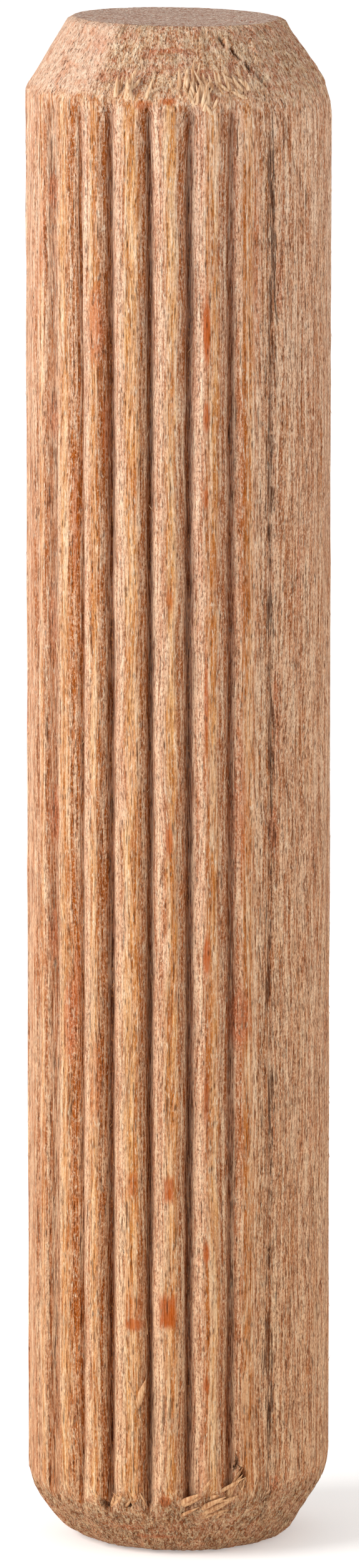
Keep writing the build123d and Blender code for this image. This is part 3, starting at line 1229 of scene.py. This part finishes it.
@dataclass(frozen=True)
class RawBeech:
    """Beech, treated with steam, turned and pressed, with no finish on it.

    It gives the eye a matt, straight-grained face: golden late wood on the ribs, a pale pink painted highlight
    on the flute flanks that face the key lamp and brown painted shade on those that face away, short dark
    vessels, and orange rays. The cut ends are crumbly.
    """

    name: str = "raw_beech_pressed"
    stick: str = "#DBAC82"
    sheen_roughness: tuple[float, float] = (0.66, 0.88)
    specular: float = 0.07
    ior: float = 1.53
    sway_size: tuple[float, float, float] = (2.2, 2.2, 7.0)
    sway: float = 0.42
    fray: float = 0.22  # how far a mark's ends fray along the grain, in millimetres
    fleck_edge: tuple[float, float] = (0.60, 1.15)  # where a mark starts to fade and is gone
    figure_roughness: float = 0.6
    crack_pull: float = 0.17  # how much more readily the ragged stretches crack
    sheen_range: tuple[float, float] = (0.3, 0.7)

    def build(self) -> bpy.types.Material:
        """Make the material.

        Returns:
            The pin's own material.
        """
        material = empty_material(self.name)
        tree = material.node_tree
        layers = self.layers(tree)
        start, end = self.sheen_range
        low, high = self.sheen_roughness
        roughness = add_node(tree, "MapRange", {0: layers["bundles"], 1: start, 2: end, 3: low, 4: high})
        surface = add_node(
            tree,
            "BsdfPrincipled",
            {
                "Base Color": self.colour(tree, layers),
                "Normal": self.relief(tree, layers),
                "Roughness": roughness,
                "IOR": self.ior,
                "Specular IOR Level": self.specular,
            },
        )
        add_node(tree, "OutputMaterial", {"Surface": surface})
        return material

    def layers(self, tree: bpy.types.NodeTree) -> dict[str, bpy.types.NodeSocket]:
        """Lay out the patterns in the solid wood, and read what the mesh says of its surface.

        Args:
            tree: the material's nodes.

        Returns:
            Each layer by name.
        """
        solid = add_node(tree, "TexCoord", output="Object")
        straight = add_node(tree, "VectorMath", {0: solid, "Scale": 1 / MM}, operation="SCALE")
        drift = add_node(tree, "VectorMath", {0: straight, 1: self.sway_size}, operation="DIVIDE")
        wander = add_node(tree, "TexNoise", {"Vector": drift, "Scale": 1.0, "Detail": 1.0}, "Color")
        reach = (self.sway, self.sway, 0.0)
        swayed = add_node(tree, "VectorMath", {0: wander, 1: reach, 2: straight}, operation="MULTIPLY_ADD")
        round_pin = add_node(tree, "VectorMath", {0: straight, 1: (1.0, 1.0, 0.0)}, operation="MULTIPLY")
        outward = add_node(tree, "VectorMath", {0: round_pin}, operation="NORMALIZE")
        climb = add_node(tree, "VectorMath", {0: straight, 1: (0.0, 0.0, 1.0)}, operation="MULTIPLY")
        dragged = add_node(
            tree, "VectorMath", {0: outward, 1: (RADIUS, RADIUS, 0.0), 2: climb}, operation="MULTIPLY_ADD"
        )
        layers = {}
        for figure in BEECH_FIGURES:
            grain = dragged if figure.torn else swayed
            place = add_node(tree, "VectorMath", {0: grain, 1: figure.size}, operation="DIVIDE")
            moved = add_node(tree, "VectorMath", {0: place, 1: (figure.shift,) * 3}, operation="ADD")
            noise = {
                "Vector": moved,
                "Scale": 1.0,
                "Detail": figure.detail,
                "Roughness": self.figure_roughness,
            }
            layers[figure.name] = add_node(tree, "TexNoise", noise, "Fac")
        cells = add_node(tree, "VectorMath", {0: swayed, 1: VESSEL_SIZE}, operation="DIVIDE")
        layers["vessels"] = add_node(tree, "TexVoronoi", {"Vector": cells, "Scale": 1.0}, "Distance")
        for word in Word:
            layers[word.value] = add_node(tree, "Attribute", None, "Fac", attribute_name=word.value)
        pulled = {0: layers[Word.RAGGED.value], 1: self.crack_pull, 2: layers["cracks"]}
        layers["cracks"] = add_node(tree, "Math", pulled, operation="MULTIPLY_ADD")
        layers["rays"] = self.flecks(tree, straight, layers["strands"], RAYS)
        layers["stains"] = self.flecks(tree, straight, layers["strands"], STAINS)
        return layers

    def flecks(
        self,
        tree: bpy.types.NodeTree,
        straight: bpy.types.NodeSocket,
        fray: bpy.types.NodeSocket,
        marks: tuple[Fleck, ...],
    ) -> bpy.types.NodeSocket:
        """Mark where the surface cuts the rays or the stained wood.

        Args:
            tree: the material's nodes.
            straight: the point, in millimetres.
            fray: noise that frays the marks along the grain.
            marks: the rays or stains.

        Returns:
            1 on a mark and 0 off it.
        """
        axes = add_node(tree, "SeparateXYZ", {0: straight}).node
        forward = add_node(tree, "Math", {0: axes.outputs[1], 1: -1.0}, operation="MULTIPLY")
        turn = add_node(tree, "Math", {0: axes.outputs[0], 1: forward}, operation="ARCTAN2")
        frayed = {0: fray, 1: self.fray, 2: axes.outputs[2]}
        height = add_node(tree, "Math", frayed, operation="MULTIPLY_ADD")
        place = add_node(tree, "CombineXYZ", {0: turn, 1: height})
        fade, gone = self.fleck_edge
        marked = 0.0
        for mark in marks:
            across, along = RADIUS / mark.width, 1 / mark.length
            centre = (-radians(mark.angle) * across, -(mark.height + self.fray / 2) * along, 0)
            offset = add_node(
                tree, "VectorMath", {0: place, 1: (across, along, 0), 2: centre}, operation="MULTIPLY_ADD"
            )
            if mark.shape is FleckShape.BLOCK:
                sides = add_node(tree, "VectorMath", {0: offset}, operation="ABSOLUTE")
                parts = add_node(tree, "SeparateXYZ", {0: sides}).node.outputs
                away = add_node(tree, "Math", {0: parts[0], 1: parts[1]}, operation="MAXIMUM")
            else:
                away = add_node(tree, "VectorMath", {0: offset}, "Value", operation="LENGTH")
            share = add_node(tree, "MapRange", {0: away, 1: fade, 2: gone, 3: mark.strength, 4: 0.0})
            marked = add_node(tree, "Math", {0: marked, 1: share}, operation="MAXIMUM")
        return marked

    def share(
        self,
        tree: bpy.types.NodeTree,
        layers: dict[str, bpy.types.NodeSocket],
        step: Coat | Relief,
        strength: float,
    ) -> bpy.types.NodeSocket:
        """Work out how much of a coat or a relief shows.

        Args:
            tree: the material's nodes.
            layers: every layer by name.
            step: the coat or relief.
            strength: its most.

        Returns:
            From 0 to that strength.
        """
        rising = step.start < step.full
        low, high = sorted((step.start, step.full))
        ends = (0.0, strength) if rising else (strength, 0.0)
        inputs = {0: layers[step.layer], 1: low, 2: high, 3: ends[0], 4: ends[1]}
        share = add_node(tree, "MapRange", inputs)
        if step.where is None:
            return share
        return add_node(tree, "Math", {0: share, 1: layers[step.where]}, operation="MULTIPLY")

    def colour(
        self, tree: bpy.types.NodeTree, layers: dict[str, bpy.types.NodeSocket]
    ) -> bpy.types.NodeSocket:
        """Lay every coat of colour over the bare rib.

        Args:
            tree: the material's nodes.
            layers: every layer by name.

        Returns:
            The colour.
        """
        paint = linear(self.stick)
        for coat in BEECH_COATS:
            share = self.share(tree, layers, coat, coat.strength)
            colours = {0: share, 6: paint, 7: linear(coat.colour)}
            paint = add_node(tree, "Mix", colours, output=2, data_type="RGBA", blend_type=coat.blend)
        return paint

    def relief(
        self, tree: bpy.types.NodeTree, layers: dict[str, bpy.types.NodeSocket]
    ) -> bpy.types.NodeSocket:
        """Add every step of height, and turn the sum into a bumped normal.

        Args:
            tree: the material's nodes.
            layers: every layer by name.

        Returns:
            The normal.
        """
        height = 0.0
        for step in BEECH_RELIEF:
            share = self.share(tree, layers, step, 1.0)
            raised = {0: share, 1: step.height, 2: height}
            height = add_node(tree, "Math", raised, operation="MULTIPLY_ADD")
        return add_node(tree, "Bump", {"Height": height, "Distance": MM, "Strength": 1.0})


@dataclass(frozen=True)
class LooseFibre:
    """Beech fibre torn from the surface: thin, dry and pale, so that it catches the light as fuzz."""

    name: str = "loose_beech_fibre"
    pale: str = "#EFD3B2"
    deep: str = "#BC8A5C"
    roughness: tuple[float, float] = (0.6, 0.8)
    strand: tuple[float, float, float] = (0.05, 0.05, 0.50)
    # colour of the painted warm cast, as on the pin
    warm_light_cast: str = "#DFC4A6"
    streak_range: tuple[float, float] = (0.35, 0.6)
    sheen_range: tuple[float, float] = (0.3, 0.7)
    bump: float = 0.02

    def build(self) -> bpy.types.Material:
        """Make the material.

        Returns:
            The material of fuzz, splinters and tufts.
        """
        material = empty_material(self.name)
        tree = material.node_tree
        solid = add_node(tree, "TexCoord", output="Object")
        sizes = tuple(size * MM for size in self.strand)
        place = add_node(tree, "VectorMath", {0: solid, 1: sizes}, operation="DIVIDE")
        streak = add_node(tree, "TexNoise", {"Vector": place, "Scale": 1.0, "Detail": 2.0}, "Fac")
        start, end = self.streak_range
        share = add_node(tree, "MapRange", {0: streak, 1: start, 2: end})
        colours = {0: share, 6: linear(self.deep), 7: linear(self.pale)}
        colour = add_node(tree, "Mix", colours, output=2, data_type="RGBA")
        # The painted warm cast, as on the pin: darker towards the bottom
        height = add_node(tree, "SeparateXYZ", {0: solid}, "Z")
        depth = add_node(tree, "MapRange", {0: height, 1: 0.0, 2: LENGTH * MM, 3: 1.0, 4: WARM_LIGHT_AT_TOP})
        warm_light_cast = {0: depth, 6: colour, 7: linear(self.warm_light_cast)}
        colour = add_node(tree, "Mix", warm_light_cast, output=2, data_type="RGBA", blend_type="MULTIPLY")
        start, end = self.sheen_range
        low, high = self.roughness
        roughness = add_node(tree, "MapRange", {0: streak, 1: start, 2: end, 3: low, 4: high})
        bump = add_node(tree, "Bump", {"Height": streak, "Distance": self.bump * MM, "Strength": 1.0})
        surface = add_node(
            tree, "BsdfPrincipled", {"Base Color": colour, "Normal": bump, "Roughness": roughness}
        )
        add_node(tree, "OutputMaterial", {"Surface": surface})
        return material


@dataclass(frozen=True)
class MattPaper:
    """White paper on the table. It glows a little, and more far from the pin, so that it stays white."""

    name: str = "matt_white_paper"
    white: str = "#F4F3F1"
    roughness: float = 0.9
    near: float = 0.0
    far: float = 0.40
    glow: tuple[float, float] = (0.30, 0.40)

    def build(self) -> bpy.types.Material:
        """Make the material.

        Returns:
            The floor's material.
        """
        material = empty_material(self.name)
        tree = material.node_tree
        place = add_node(tree, "TexCoord", output="Object")
        away = add_node(tree, "VectorMath", {0: place}, "Value", operation="LENGTH")
        low, high = self.glow
        glow = add_node(tree, "MapRange", {0: away, 1: self.near, 2: self.far, 3: low, 4: high})
        surface = add_node(
            tree,
            "BsdfPrincipled",
            {
                "Base Color": linear(self.white),
                "Roughness": self.roughness,
                "Emission Color": (1.0, 1.0, 1.0, 1.0),
                "Emission Strength": glow,
            },
        )
        add_node(tree, "OutputMaterial", {"Surface": surface})
        return material


@dataclass(frozen=True)
class Softbox:
    """A square diffused lamp, sized in metres, that faces the pin; level 1 makes white paper white."""

    name: str
    azimuth: float
    elevation: float
    distance: float
    size: float
    level: float


@dataclass
class Studio:
    """A pale sheet of paper, soft lamps and the camera."""

    sky: float = 0.60
    floor_size: float = 6.0
    camera_distance: float = 272.8
    camera_elevation: float = 9.5
    aim: tuple[float, float, float] = (0.027, 0.0, LENGTH / 2 - 0.055)
    lens: float = 240.0
    lamps: tuple[Softbox, ...] = (
        Softbox("key_softbox", azimuth=-66, elevation=30, distance=0.50, size=0.30, level=0.93),
        Softbox("fill_softbox", azimuth=70, elevation=18, distance=0.60, size=0.40, level=0.20),
    )

    def build_floor(self) -> bpy.types.Object:
        """Lay the paper.

        Returns:
            The floor.
        """
        half = self.floor_size / 2
        mesh = bpy.data.meshes.new("paper_floor")
        corners = [(-half, -half, 0), (half, -half, 0), (half, half, 0), (-half, half, 0)]
        mesh.from_pydata(corners, [], [(0, 1, 2, 3)])
        mesh.materials.append(MattPaper().build())
        floor = place_in_scene("paper_floor", mesh)
        return floor

    def build_lamps(self) -> None:
        """Hang the softboxes and light the room evenly."""
        for box in self.lamps:
            lamp = bpy.data.lights.new(box.name, "AREA")
            lamp.shape = "SQUARE"
            lamp.size = box.size
            lamp.energy = box.level * pi**2 * box.distance**2
            turn, rise = radians(box.azimuth), radians(box.elevation)
            away = np.array([sin(turn) * cos(rise), -cos(turn) * cos(rise), sin(rise)])
            holder = bpy.data.objects.new(box.name, lamp)
            holder.location = np.array(self.aim) * MM + away * box.distance
            holder.rotation_euler = (pi / 2 - rise, 0, turn)
            bpy.context.scene.collection.objects.link(holder)
        world = bpy.data.worlds.new("even_room")
        world.use_nodes = True
        background = world.node_tree.nodes["Background"]
        background.inputs["Color"].default_value = (1.0, 1.0, 1.0, 1.0)
        background.inputs["Strength"].default_value = self.sky
        bpy.context.scene.world = world

    def build_camera(self) -> None:
        """Set the camera up: a long lens, a little above the pin's middle."""
        rise = radians(self.camera_elevation)
        away = np.array([0.0, -cos(rise), sin(rise)]) * self.camera_distance
        camera = bpy.data.cameras.new("camera")
        camera.lens = self.lens
        camera.clip_start = 0.01
        camera.clip_end = 50.0
        holder = bpy.data.objects.new("camera", camera)
        holder.location = (np.array(self.aim) + away) * MM
        holder.rotation_euler = (pi / 2 - rise, 0, 0)
        bpy.context.scene.collection.objects.link(holder)
        bpy.context.scene.camera = holder
        bpy.context.scene.view_settings.view_transform = "Standard"


def hold(piece: bpy.types.Object) -> None:
    """Hold a piece to the pin's body and report it.

    Args:
        piece: the finished piece.
    """
    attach(piece, ROOT_BODY)
    log.info("%s: %d faces", piece.name, len(piece.data.polygons))


def main() -> None:
    """Build the pin, its loose fibres and the studio."""
    logging.basicConfig(level=logging.INFO, format="%(name)s: %(message)s")
    body = PinBody()
    pin = body.build(RawBeech().build())
    hold(pin)
    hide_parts(PIN_NODE)
    fibre = LooseFibre().build()
    for fibres in TornGrain(body).sets():
        hold(fibres.build(body, fibre))
    studio = Studio()
    studio.build_floor()
    studio.build_lamps()
    studio.build_camera()


if __name__ == "__main__":
    main()
